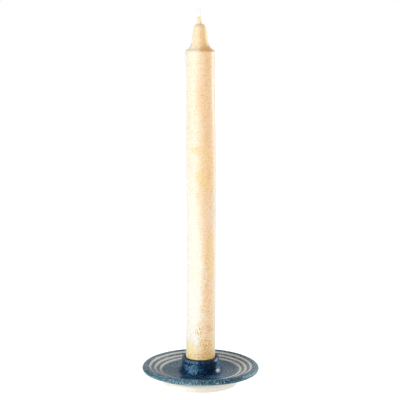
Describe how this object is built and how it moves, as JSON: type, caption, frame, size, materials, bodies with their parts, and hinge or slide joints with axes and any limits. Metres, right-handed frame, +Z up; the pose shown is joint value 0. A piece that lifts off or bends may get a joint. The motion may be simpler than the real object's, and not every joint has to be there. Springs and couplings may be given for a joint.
{
  "type": "beeswax candle in a saucer holder",
  "caption": "Straight beeswax candle with a milled tapered head, standing in the socket of a glazed stoneware saucer with bare rings.",
  "frame": {"origin": "centre of the saucer's foot ring, on the table", "axes": "+Z up along the candle; the saucer and the candle are round about Z, and the pictured side faces -Y"},
  "size_m": [0.087, 0.087, 0.2768],
  "materials": {
    "bare_clay": "bare fired stoneware, cream, dry and matt",
    "blue_glaze": "deep blue stoneware glaze, glossy, finely speckled",
    "golden_wax": "golden beeswax with a milled satin surface",
    "pale_wax": "pale beeswax, finely mottled, satin",
    "cotton": "braided raw cotton",
    "primer_wax": "hard wax over braid, slightly glossy"
  },
  "bodies": {
    "holder": {"saucer": "bare_clay", "candle_socket": "bare_clay", "rim_glaze": "blue_glaze", "outer_band_glaze": "blue_glaze", "inner_band_glaze": "blue_glaze", "well_and_socket_glaze": "blue_glaze"},
    "candle": {"wax_core": "golden_wax", "wax_coat": "pale_wax", "wick": "cotton", "wick_primer": "primer_wax"}
  },
  "joints": [
    {"name": "candle_lift", "type": "slide", "parent": "holder", "child": "candle", "axis": [0, 0, 1], "range_m": [0, 0.025]}
  ]
}
